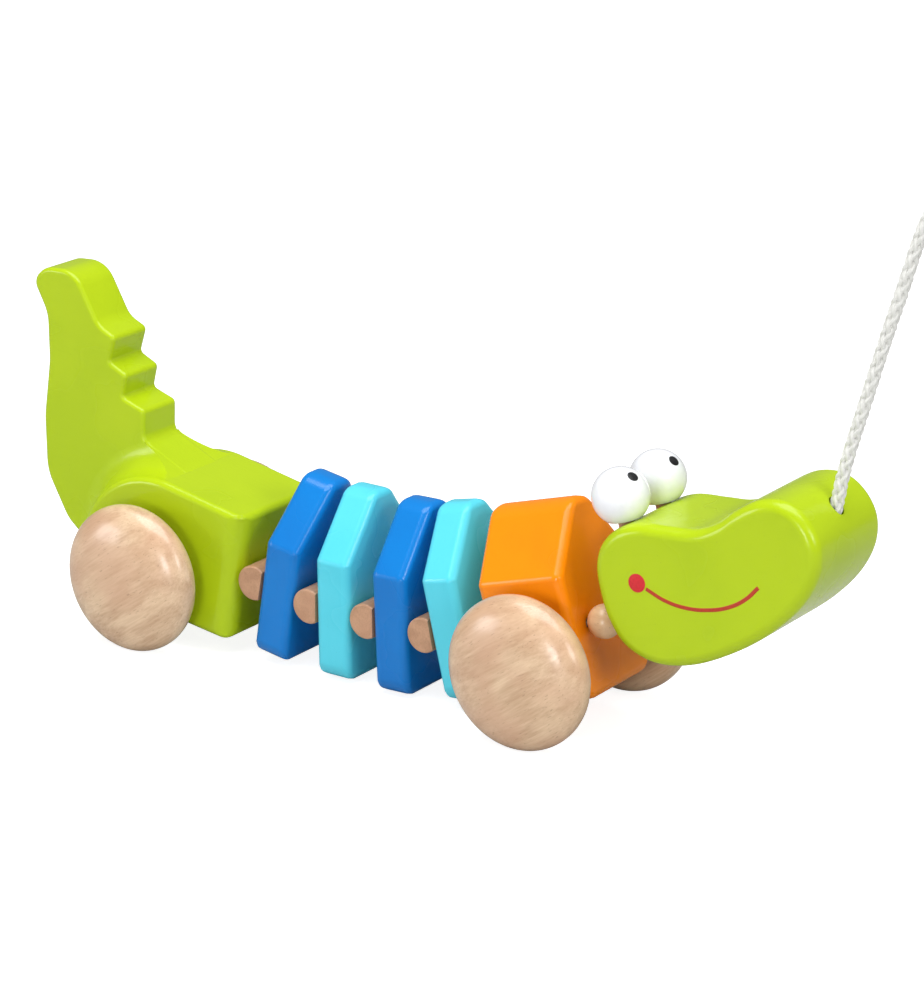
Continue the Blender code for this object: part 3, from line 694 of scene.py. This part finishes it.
def braid_lines(path, radius, strands, pitch):
    """The strands of a round braid along path: half wind each way, over one and under the next."""
    middle = radius * 0.56
    sway = radius * 0.13
    normal = Vector((0, 1, 0))
    run = 0.0
    lines = [[] for _ in range(strands)]
    for i, point in enumerate(path):
        if i:
            run += (point - path[i - 1]).length
        tangent = (path[min(i + 1, len(path) - 1)] - path[max(i - 1, 0)]).normalized()
        across = normal.cross(tangent).normalized()
        for strand in range(strands):
            way = 1 if strand % 2 else -1
            angle = way * 2 * math.pi * run / pitch + 2 * math.pi * (strand // 2) / (strands / 2)
            crossings = strands * run / pitch
            lift = way * math.cos(math.pi * crossings)
            reach = middle + sway * lift
            lines[strand].append(point + reach * (normal * math.cos(angle) + across * math.sin(angle)))
    return lines


def make_knot(place):
    """A trefoil of braid, pulled tight at the rope's end."""
    loop = []
    for k in range(97):
        t = 2 * math.pi * k / 96
        swell = (2 + math.cos(3 * t)) * KNOT_SWELL
        height = KNOT_HEIGHT + math.sin(3 * t) * KNOT_RISE
        loop.append(place @ Vector((swell * math.cos(2 * t), swell * math.sin(2 * t), height)))
    return tube_mesh("pull_cord_end_knot", braid_lines(loop, 1.6 * MM, 6, 14 * MM), 0.62 * MM)


def make_pull_ball(place):
    mouth = PULL_BALL_BORE_RADIUS + 0.3 * MM
    profile = [(mouth, -10.60 * MM)]
    profile += [(r, h) for h, r in arc(PULL_BALL_RADIUS, 180 - 16, 16, 40)]
    profile += [(mouth, 10.60 * MM)]
    ball = turn_piece("wooden_pull_ball", profile, 72)
    drill(ball, PULL_BALL_BORE_RADIUS, (0, 0, -13 * MM), 26 * MM, "Z")
    settle(ball, place)
    soften(ball, 40, False)
    return ball


def make_pull_cord():
    route = curve_through([Vector((x, 0, z)) for x, z in ROPE_ROUTE], 12)
    lines = braid_lines(route, ROPE_DIAMETER / 2, ROPE_STRANDS, ROPE_PITCH)
    rope = tube_mesh("braided_pull_cord", lines, ROPE_DIAMETER * 0.185)
    end = route[-1]
    ahead = (route[-1] - route[-20]).normalized()
    knot = make_knot(Matrix.Translation(end) @ facing(ahead))
    ball = make_pull_ball(Matrix.Translation(end - ahead * PULL_BALL_BACK) @ facing(ahead))
    finish_piece(rope, rope_white, "head", "pull_rope", "pull_cord")
    finish_piece(knot, rope_white, "head", "pull_rope", "pull_cord_knot")
    finish_piece(ball, bead_wood, "head", "varnished_wood", "pull_ball")


make_pull_cord()


# ---------------------------------------------------------------- blocks on the chain


def weigh(obj, share, wanted):
    """Marks edges for the rounding to come: a share of 1 gets its whole width."""
    edit(obj, "EDGE", wanted)
    bpy.ops.transform.edge_bevelweight(value=share)
    done()


def round_weighed(obj, width, segments):
    apply_modifier(
        obj, "BEVEL", width=width, segments=segments, limit_method="WEIGHT", use_clamp_overlap=False
    )


def is_along(edge, axis):
    """Whether an edge of a sawn block runs along this axis (0, 1 or 2), give or take a slope."""
    step = edge.verts[1].co - edge.verts[0].co
    return abs(step[axis]) > 0.5 * step.length


def at_level(edge, axis, level):
    return all(abs(vertex.co[axis] - level) < 1e-6 for vertex in edge.verts)


def six_sided(name, length, top, rim):
    """A six-sided block from x = 0 to length; top and rim round its top and the edges of its two faces."""
    height = SECTION_TOP - SECTION_BOTTOM
    bpy.ops.mesh.primitive_cube_add(size=1, location=(length / 2, 0, (SECTION_TOP + SECTION_BOTTOM) / 2))
    block = named(name)
    block.scale = (length, 2 * SHOULDER_HALF_WIDTH, height)
    settle(block, Matrix.Identity(4))
    edit(block, "FACE", lambda face: True)
    bpy.ops.mesh.bisect(plane_co=(0, 0, SECTION_SHOULDER), plane_no=(0, 0, 1))
    done()
    for level, half in ((SECTION_TOP, TOP_HALF_WIDTH), (SECTION_BOTTOM, BOTTOM_HALF_WIDTH)):
        edit(block, "VERT", lambda vertex: abs(vertex.co.z - level) < 1e-6)
        bpy.ops.transform.resize(value=(1, half / SHOULDER_HALF_WIDTH, 1), center_override=(0, 0, level))
        done()
    edit(block, "EDGE", lambda edge: at_level(edge, 2, SECTION_SHOULDER) and is_along(edge, 1))
    bpy.ops.mesh.dissolve_edges(use_verts=False)
    done()
    roundings = ((SECTION_TOP, top), (SECTION_SHOULDER, SHOULDER_ROUNDING), (SECTION_BOTTOM, BOTTOM_ROUNDING))
    for level, rounding in roundings:
        weigh(block, rounding / BOTTOM_ROUNDING, lambda edge: at_level(edge, 2, level) and is_along(edge, 0))
    weigh(block, rim / BOTTOM_ROUNDING, lambda edge: not is_along(edge, 0))
    round_weighed(block, BOTTOM_ROUNDING, 8)
    return block


def bore_for_cords(block, length):
    for side in (-1, 1):
        drill(block, CORD_BORE_RADIUS, (BLOCK_REAR - 3 * MM, side * CORD_OFFSET, 0), length + 6 * MM)


def make_plates():
    pattern = six_sided("plate_pattern", PLATE_THICKNESS, PLATE_TOP_ROUNDING, PLATE_RIM_ROUNDING)
    middle = BLOCK_REAR + PLATE_THICKNESS / 2
    for number, (lean, lift) in enumerate(zip(PLATE_LEANS, PLATE_LIFTS), 1):
        place, _ = body_place(f"rock_{number}", f"rock_{number + 1}")
        plate = copy_of(pattern, f"painted_plate_{number}")
        turn = Matrix.Rotation(math.radians(lean), 4, "Y") @ Matrix.Translation((-PLATE_THICKNESS / 2, 0, 0))
        settle(plate, Matrix.Translation((middle, 0, lift)) @ turn)
        bore_for_cords(plate, PLATE_THICKNESS)
        settle(plate, place)
        soften(plate)
        color, slot = ((light_blue, "light_blue_paint"), (dark_blue, "dark_blue_paint"))[number % 2]
        finish_piece(plate, color, f"plate_{number}", slot, f"plate_{number}")
    bpy.data.objects.remove(pattern)


def make_front_block():
    length = FRONT_BLOCK_LENGTH
    block = six_sided("painted_front_block", length, FRONT_TOP_ROUNDING, FRONT_RIM_ROUNDING)
    settle(block, Matrix.Translation((BLOCK_REAR, 0, 0)))
    bore_for_cords(block, length)
    place, _ = body_place("rock_5", "head_nods")
    axle = place.inverted() @ AXIS["front_wheels_turn"]
    drill(block, AXLE_RADIUS + GAP, (axle.x, -25 * MM, axle.z), 50 * MM, "Y")
    settle(block, place)
    soften(block)
    finish_piece(block, orange, "front_block", "orange_paint", "front_block")


def make_dowels():
    """Dowels turned round, planed flat towards the block that they are glued to, and bored for the cords."""
    edge = DOWEL_EDGE_RADIUS
    low, high = -DOWEL_HALF_LENGTH, DOWEL_HALF_LENGTH
    profile = [(DOWEL_RADIUS - edge, low)]
    profile += [(DOWEL_RADIUS - edge + r, low + edge - h) for r, h in arc(edge, 70, 0, 4)]
    profile += [(DOWEL_RADIUS - edge + r, high - edge + h) for r, h in arc(edge, 0, 70, 4)]
    profile += [(DOWEL_RADIUS - edge, high)]
    pattern = turn_piece("dowel_pattern", profile, 64)
    settle(pattern, Matrix.Rotation(math.radians(90), 4, "X"))
    edit(pattern, "FACE", lambda face: True)
    flat = {"plane_co": (DOWEL_FLAT, 0, 0), "plane_no": (1, 0, 0)}
    bpy.ops.mesh.bisect(**flat, use_fill=True, clear_outer=True)
    done()
    for side in (-1, 1):
        drill(pattern, DOWEL_BORE_RADIUS, (-8 * MM, side * CORD_OFFSET, 0), 16 * MM)
    ahead = [f"rock_{number}" for number in range(1, 6)] + ["head_nods"]
    for number, lean in enumerate((*PLATE_LEANS, 0), 1):
        place, _ = body_place(ahead[number - 1], ahead[number])
        dowel = copy_of(pattern, f"flat_sided_dowel_{number}")
        settle(dowel, place @ Matrix.Rotation(math.radians(lean), 4, "Y"))
        soften(dowel, 35)
        body = f"plate_{number}" if number < 5 else "front_block"
        finish_piece(dowel, dowel_wood, body, "dowel_wood", f"dowel_{number}")
    bpy.data.objects.remove(pattern)


def make_wheels():
    bore = AXLE_RADIUS + 0.15 * MM
    bulge = WHEEL_CROWN - WHEEL_WIDEST
    profile = [(bore, AXLE_HALF_LENGTH + GAP), (bore, HUB_INNER + 0.5 * MM), (bore + 0.5 * MM, HUB_INNER)]
    profile += [(HUB_RADIUS - 0.6 * MM, HUB_INNER), (HUB_RADIUS, HUB_INNER + 0.6 * MM)]
    profile += [(HUB_RADIUS, WHEEL_INNER - 1 * MM), (HUB_RADIUS + 1 * MM, WHEEL_INNER)]
    rounding = WHEEL_BACK_ROUNDING
    profile += arc(rounding, -90, 0, 8, (WHEEL_RADIUS - rounding, WHEEL_WIDEST))
    power = 2 / WHEEL_SHOULDER
    for k in range(1, 30):
        angle = math.pi / 2 * k / 30
        radius = WHEEL_RADIUS * math.cos(angle) ** power
        profile.append((radius, WHEEL_WIDEST + bulge * math.sin(angle) ** power))
    profile.append((0, WHEEL_CROWN))
    pattern = turn_piece("wheel_pattern", profile, 128)
    for end in ("rear", "front"):
        for word, side in (("left", 1), ("right", -1)):
            wheel = copy_of(pattern, f"turned_{end}_{word}_wheel")
            turn = Matrix.Rotation(math.radians(-90 * side), 4, "X")
            settle(wheel, Matrix.Translation(AXIS[f"{end}_wheels_turn"]) @ turn)
            soften(wheel, 40, False)
            finish_piece(wheel, wheel_wood, f"{end}_wheelset", "varnished_wood", f"{end}_wheel_{word}")
    bpy.data.objects.remove(pattern)
    for end in ("rear", "front"):
        reach = AXLE_HALF_LENGTH - 0.1 * MM
        profile = [(AXLE_RADIUS - 0.5 * MM, -reach), (AXLE_RADIUS, 0.5 * MM - reach)]
        profile += [(AXLE_RADIUS, reach - 0.5 * MM), (AXLE_RADIUS - 0.5 * MM, reach)]
        axle = turn_piece(f"wooden_{end}_axle", profile, 48)
        turn = Matrix.Rotation(math.radians(90), 4, "X")
        settle(axle, Matrix.Translation(AXIS[f"{end}_wheels_turn"]) @ turn)
        soften(axle, 40, False)
        finish_piece(axle, dowel_wood, f"{end}_wheelset", "dowel_wood", f"{end}_axle")


def make_block_body():
    """The low block over the rear axle, its back an arch around the wheels."""
    lowest = math.degrees(math.asin(-BLOCK_BOTTOM / FENDER_RADIUS))
    fender = [(x / MM, z / MM) for x, z in arc(FENDER_RADIUS, 87, 180 + lowest, 60, FENDER_PLACE)]
    outline = [*fender, (BLOCK_FRONT / MM, BLOCK_BOTTOM / MM), (BLOCK_FRONT / MM, BLOCK_TOP / MM)]
    block = sawn("painted_tail_block", outline, HALF_WIDTH)
    share = BLOCK_EDGE_ROUNDING / BLOCK_CORNER_ROUNDING
    weigh(block, 1, lambda edge: at_level(edge, 0, BLOCK_FRONT) and is_along(edge, 2))
    weigh(block, share, lambda edge: at_level(edge, 0, BLOCK_FRONT) and is_along(edge, 1))
    weigh(block, share, lambda edge: not is_along(edge, 1) and not at_level(edge, 0, BLOCK_FRONT))
    round_weighed(block, BLOCK_CORNER_ROUNDING, 7)
    return block


def make_cove(outline):
    """The hollow curve, turned about the arch's middle, from the block's sides up to the tail's."""
    start = HALF_WIDTH - 2 * MM
    radius = start - TAIL_HALF_WIDTH
    outer = FENDER_RADIUS - 0.1 * MM + radius
    curve = [(outer + across, start + up) for across, up in arc(radius, 180, 268, 16)]
    far_half = [(r, -h) for r, h in curve]
    profile = [(5 * MM, -start), *far_half, *reversed(curve), (5 * MM, start)]
    cove = turn_piece("cove", profile, 160)
    spot = Matrix.Translation((FENDER_PLACE[0], 0, FENDER_PLACE[1]))
    settle(cove, spot @ Matrix.Rotation(math.radians(90), 4, "X"))
    combine(cove, sawn("cove_limit", shrink(outline, 0.25), HALF_WIDTH), "INTERSECT")
    return cove


def make_tail_block():
    """Union of the block over the axle, the stepped tail and the cove that blends one into the other."""
    block = make_block_body()
    outline = rounded(TAIL_OUTLINE, 8)
    tail = sawn("stepped_tail", outline, TAIL_HALF_WIDTH)
    sand_edges(tail, TAIL_EDGE_RADIUS, 5)
    cove = make_cove(outline)
    combine(block, tail, "UNION")
    combine(block, cove, "UNION")
    drill(block, AXLE_RADIUS + GAP, (0, -25 * MM, 0), 50 * MM, "Y")
    for side in (-1, 1):
        start = (BLOCK_FRONT - REAR_CORD_DEPTH, side * CORD_OFFSET, REAR_CORD_HEIGHT)
        drill(block, CORD_BORE_RADIUS, start, REAR_CORD_DEPTH + 5 * MM)
    settle(block, Matrix.Translation(AXIS["rear_wheels_turn"]) @ Matrix.Rotation(TAIL_TILT, 4, "Y"))
    soften(block)
    finish_piece(block, lime_tail, "tail_block", "lime_paint", "tail_block")


# ---------------------------------------------------------------- neck, head and face


def make_neck():
    opening = math.degrees(math.asin(BEAD_BORE_RADIUS * 1.12 / BEAD_RADIUS))
    profile = [(r, h) for h, r in arc(BEAD_RADIUS, 180 - opening, opening, 28)]
    pattern = turn_piece("bead_pattern", profile, 64)
    drill(pattern, BEAD_BORE_RADIUS, (0, 0, -8 * MM), 16 * MM, "Z")
    settle(pattern, Matrix.Rotation(math.radians(90), 4, "Y"))
    place = Matrix.Translation(AXIS["head_nods"]) @ Matrix.Rotation(BEAD_TILT, 4, "Y")
    for word, side in (("left", 1), ("right", -1)):
        bead = copy_of(pattern, f"turned_{word}_neck_bead")
        settle(bead, place @ Matrix.Translation((0, side * CORD_OFFSET, 0)))
        soften(bead, 40, False)
        finish_piece(bead, bead_wood, "neck_beads", "varnished_wood", f"neck_bead_{word}")
    bpy.data.objects.remove(pattern)


def make_elastic_cords():
    """Each block's stretch of the two elastic cords, with ends that all but meet at the axes."""
    tail = Matrix.Translation(AXIS["rock_1"]) @ Matrix.Rotation(TAIL_TILT, 4, "Y")
    places = {"tail_block": (tail, -25 * MM, 0)}
    for number in range(1, 5):
        place, length = body_place(f"rock_{number}", f"rock_{number + 1}")
        places[f"plate_{number}"] = (place, 0, length)
    place, length = body_place("rock_5", "head_nods")
    places["front_block"] = (place, 0, length)
    head = Matrix.Translation(AXIS["head_nods"]) @ Matrix.Rotation(HEAD_TILT, 4, "Y")
    places["head"] = (head, 0, HEAD_CORD_DEPTH - 0.5 * MM)
    for body, (place, start, end) in places.items():
        for word, side in (("left", 1), ("right", -1)):
            first, last = start + 0.2 * MM, end - 0.2 * MM
            line = [Vector((first + (last - first) * k / 24, side * CORD_OFFSET, 0)) for k in range(25)]
            ridges = braid_lines(line, CORD_RADIUS * 1.02, 8, 7 * MM)
            core = tube_mesh(f"elastic_cord_{word}_in_{body}", [line, *ridges], CORD_RADIUS * 0.42, 6)
            settle(core, place)
            finish_piece(core, elastic_grey, body, "elastic_cord", f"cord_{word}_in_{body}")


def make_head():
    place = Matrix.Translation(AXIS["head_nods"]) @ Matrix.Rotation(HEAD_TILT, 4, "Y")
    head = sawn("painted_head", smooth(HEAD_OUTLINE, 9), HEAD_HALF_WIDTH)
    sand_edges(head, HEAD_EDGE_RADIUS, 8)
    for side in (-1, 1):
        drill(head, CORD_BORE_RADIUS, (0, side * CORD_OFFSET, 0), HEAD_CORD_DEPTH)
        spot = (EYE_PLACE[0], side * EYE_PLACE[1], EYE_PLACE[2] - EYE_FLAT - 9.3 * MM)
        drill(head, EYE_PEG_RADIUS + GAP, spot, 12 * MM, "Z")
    start, above = (Vector((x, 0, z)) for x, z in (ROPE_ROUTE[0], ROPE_ROUTE[3]))
    hole = rod("rope_hole", ROPE_HOLE_RADIUS, (0, 0, -0.5 * MM), 26 * MM, "Z")
    settle(hole, Matrix.Translation(start) @ facing(above - start))
    settle(head, place)
    combine(head, hole, "DIFFERENCE")
    soften(head)
    finish_piece(head, lime_head, "head", "lime_paint", "head")
    return place


def make_eye(name, centre):
    """A lacquered ball with a flat to stand on and a blind hole for its peg."""
    bpy.ops.mesh.primitive_uv_sphere_add(segments=80, ring_count=40, radius=EYE_RADIUS)
    eye = named(name)
    edit(eye, "FACE", lambda face: True)
    bpy.ops.mesh.bisect(plane_co=(0, 0, -EYE_FLAT), plane_no=(0, 0, -1), use_fill=True, clear_outer=True)
    done()
    edit(eye, "EDGE", lambda edge: all(v.co.z < -EYE_FLAT + 1e-6 for v in edge.verts))
    bpy.ops.mesh.bevel(offset=0.5 * MM, segments=3)
    done()
    drill(eye, EYE_PEG_RADIUS + GAP, (0, 0, -EYE_FLAT - 1 * MM), 8.3 * MM, "Z", 32)
    settle(eye, Matrix.Translation(centre) @ Matrix.Rotation(HEAD_TILT, 4, "Y"))
    soften(eye, 40, False)
    return eye


def make_pupil(name, centre, look):
    """A cap of paint that follows the ball, turned towards look."""
    widest = math.degrees(math.asin(PUPIL_RADIUS / EYE_RADIUS))
    under = arc(EYE_RADIUS - PAINT, 0, widest, 8)
    over = arc(EYE_RADIUS + PAINT, widest, 0, 8)
    profile = [(r, h) for h, r in under[1:] + over[:-1]] + [(0, EYE_RADIUS + PAINT)]
    pupil = turn_piece(name, profile, 48)
    settle(pupil, Matrix.Translation(centre) @ facing(look))
    soften(pupil, 40, False)
    return pupil


def make_eyes(place):
    for word, side in (("left", 1), ("right", -1)):
        centre = place @ Vector((EYE_PLACE[0], side * EYE_PLACE[1], EYE_PLACE[2]))
        eye = make_eye(f"white_{word}_eye", centre)
        finish_piece(eye, eye_white, "head", "eye_white", f"eye_{word}")
        pupil = make_pupil(f"painted_{word}_pupil", centre, Vector(PUPIL_LOOKS[word]).normalized())
        finish_piece(pupil, pupil_black, "head", "eye_white")
        peg = frame["nodes"][f"eye_peg_{word}"]
        peg.data.materials.clear()
        peg.data.materials.append(dowel_wood)


def make_smile(name):
    """One brush stroke, lying flat on x and y."""
    bpy.ops.curve.primitive_bezier_curve_add()
    line = bpy.context.active_object
    line.name = name
    spline = line.data.splines[0]
    spline.bezier_points.add(len(SMILE_STROKE) - 2)
    for point, (x, z) in zip(spline.bezier_points, SMILE_STROKE):
        point.co = (x * MM, z * MM, 0)
        point.handle_left_type = point.handle_right_type = "AUTO"
    line.data.bevel_depth = SMILE_HALF_WIDTH
    line.data.bevel_resolution = 4
    line.data.resolution_u = 12
    line.data.use_fill_caps = True
    pick(line)
    bpy.ops.object.convert(target="MESH")
    smile = named(name)
    edit(smile, "VERT", lambda vertex: True)
    bpy.ops.mesh.remove_doubles(threshold=1e-6)
    bpy.ops.mesh.normals_make_consistent(inside=False)
    return done()


def make_dot(name):
    profile = [(DOT_RADIUS - 0.1 * MM, -PAINT), (DOT_RADIUS, -PAINT * 0.5)]
    profile += [(DOT_RADIUS, PAINT * 0.6), (DOT_RADIUS - 0.12 * MM, PAINT)]
    return turn_piece(name, profile, 64)


def make_cheeks(place):
    """On each cheek a dot, and a smile that starts from it."""
    flat = Matrix.Diagonal((1, 1, PAINT / SMILE_HALF_WIDTH, 1))
    upright = Matrix.Rotation(math.radians(90), 4, "X")
    for word, side in (("left", 1), ("right", -1)):
        smile = make_smile(f"painted_{word}_smile")
        settle(smile, place @ Matrix.Translation((0, side * HEAD_HALF_WIDTH, 0)) @ upright @ flat)
        soften(smile, 40, False)
        finish_piece(smile, smile_red, "head", "lime_paint")
        dot = make_dot(f"painted_{word}_cheek_dot")
        spot = (DOT_PLACE[0], side * (HEAD_HALF_WIDTH + 0.02 * MM), DOT_PLACE[1])
        settle(dot, place @ Matrix.Translation(spot) @ upright)
        soften(dot, 40, False)
        finish_piece(dot, dot_red, "head", "lime_paint")


make_tail_block()
make_wheels()
make_dowels()
make_plates()
make_front_block()
make_neck()
make_elastic_cords()
head_place = make_head()
make_eyes(head_place)
make_cheeks(head_place)


# ---------------------------------------------------------------- floor and light


def make_stage():
    """A white floor that throws only a little light back up at the toy."""
    bpy.ops.mesh.primitive_plane_add(size=12, location=(0, 0, -0.1 * MM))
    floor = named("floor")
    made = bpy.data.materials.new("pale_floor")
    made.use_nodes = True
    tree = made.node_tree
    shader = tree.nodes["Principled BSDF"]
    seen = tree.nodes.new("ShaderNodeLightPath").outputs["Is Camera Ray"]
    shader.inputs["Base Color"].default_value = (0.5, 0.5, 0.5, 1)
    shader.inputs["Roughness"].default_value = 0.7
    shader.inputs["Specular IOR Level"].default_value = 0.1
    shader.inputs["Emission Color"].default_value = (1, 1, 1, 1)
    tree.links.new(maths(tree, "MULTIPLY", seen, 0.86), shader.inputs["Emission Strength"])
    floor.data.materials.append(made)


def softbox(name, direction, distance, size, power):
    """A rectangular light that faces the toy's middle; size in metres, power in watts."""
    light = bpy.data.lights.new(name, "AREA")
    light.shape = "RECTANGLE"
    light.size, light.size_y = size
    light.energy = power
    obj = bpy.data.objects.new(name, light)
    bpy.context.scene.collection.objects.link(obj)
    away = Vector(direction).normalized()
    obj.matrix_world = Matrix.Translation(Vector((0, 0, 0.06)) + away * distance) @ facing(away)


def make_light():
    world = bpy.data.worlds.new("studio")
    world.use_nodes = True
    background = world.node_tree.nodes["Background"]
    background.inputs["Color"].default_value = (1, 1, 1, 1)
    background.inputs["Strength"].default_value = 0.22
    bpy.context.scene.world = world
    softbox("left_softbox", (-0.74, -0.67, 0.17), 1.6, (0.6, 0.45), 5.5)
    softbox("near_softbox", (0.27, -0.95, 0.15), 1.6, (0.36, 0.4), 6.5)
    softbox("nose_softbox", (0.90, -0.28, 0.42), 1.6, (0.6, 0.5), 7)
    softbox("top_softbox", (0.10, -0.15, 1.0), 1.5, (1.6, 1.2), 30)
    bpy.context.scene.view_settings.view_transform = "Standard"


make_stage()
make_light()
